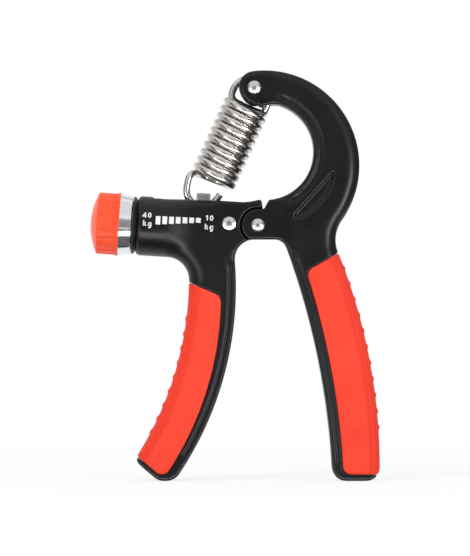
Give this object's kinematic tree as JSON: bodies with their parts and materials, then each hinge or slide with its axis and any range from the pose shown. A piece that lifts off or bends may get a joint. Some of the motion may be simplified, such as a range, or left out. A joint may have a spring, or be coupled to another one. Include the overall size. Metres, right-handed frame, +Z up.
{
  "type": "hand grip strengthener",
  "caption": "Adjustable hand grip strengthener: two handles hinged at a rivet and held apart by a tension spring that a knob, screw and nut set along a barrel.",
  "frame": {"origin": "centre of the footprint, on the floor below the bounding box", "axes": "+Z up with the object standing on the ends of both grips, +X towards the bow arm and the fixed grip, -Y towards the viewer who reads the scale"},
  "size_m": [0.1128, 0.0246, 0.1598],
  "materials": {
    "black_plastic": "satin moulded",
    "grip_rubber": "soft matte",
    "knob_plastic": "satin moulded",
    "bush_plastic": "matte",
    "washer_nylon": "natural",
    "plated_steel": "bright zinc plated",
    "spring_wire": "nickel plated",
    "bright_ring": "polished",
    "sleeve_brass": "turned",
    "cast_zinc": "as cast"
  },
  "bodies": {
    "right_handle": {"right_handle": "black_plastic", "right_grip_pad": "grip_rubber", "pivot_rivet": "plated_steel", "spring_pin": "plated_steel"},
    "left_handle": {"left_handle": "black_plastic", "left_grip_pad": "grip_rubber", "screw_retaining_pin": "plated_steel", "barrel_end_bush": "bush_plastic", "thrust_washer": "washer_nylon", "pivot_sleeve": "sleeve_brass", "hinge_washers": "washer_nylon"},
    "knob": {"adjust_knob": "knob_plastic", "knob_ring": "bright_ring", "knob_hub": "bush_plastic", "adjusting_screw": "plated_steel", "knob_lock_nut": "plated_steel"},
    "traveller": {"traveller_nut": "cast_zinc"},
    "spring_upper": {"spring_upper_loop": "spring_wire"},
    "spring_middle": {"spring_coils": "spring_wire"},
    "spring_hook": {"spring_lower_hook": "spring_wire"}
  },
  "joints": [
    {"name": "grip_squeeze", "type": "hinge", "parent": "right_handle", "child": "left_handle", "pos_m": [0.00891, 0, 0.0995], "axis": [0, -1, 0], "range_deg": [0, 30], "stiffness_Nm_per_rad": 10, "springref_deg": -8.59},
    {"name": "knob_turn", "type": "hinge", "parent": "left_handle", "child": "knob", "pos_m": [0.00873, 0, 0.09656], "axis": [0.998, 0, -0.0628], "range_deg": [-5796, 306]},
    {"name": "load_adjust", "type": "slide", "parent": "left_handle", "child": "traveller", "axis": [0.998, 0, -0.0628], "range_m": [-0.016, 0.0008]},
    {"name": "spring_swing", "type": "hinge", "parent": "right_handle", "child": "spring_upper", "pos_m": [0.00751, 0, 0.1531], "axis": [0, -1, 0], "range_deg": [-15.32, 0.9], "deforming": ["spring_upper_loop"]},
    {"name": "spring_extend", "type": "slide", "parent": "spring_upper", "child": "spring_middle", "axis": [-0.398, 0, -0.9174], "range_m": [-0.0005, 0.00753], "deforming": ["spring_coils"]},
    {"name": "spring_stretch", "type": "slide", "parent": "spring_middle", "child": "spring_hook", "axis": [-0.0752, 0, -0.9972], "range_m": [0, 0.01184], "deforming": ["spring_lower_hook"]}
  ],
  "couplings": [
    {"joint": "knob_turn", "follows": "load_adjust", "rad_per_m": 6283.2},
    {"joint": "spring_swing", "follows": "load_adjust", "rad_per_m": 16.497},
    {"joint": "spring_extend", "follows": "load_adjust", "ratio": -0.46447},
    {"joint": "spring_stretch", "follows": "grip_squeeze", "m_per_rad": 0.022418}
  ]
}
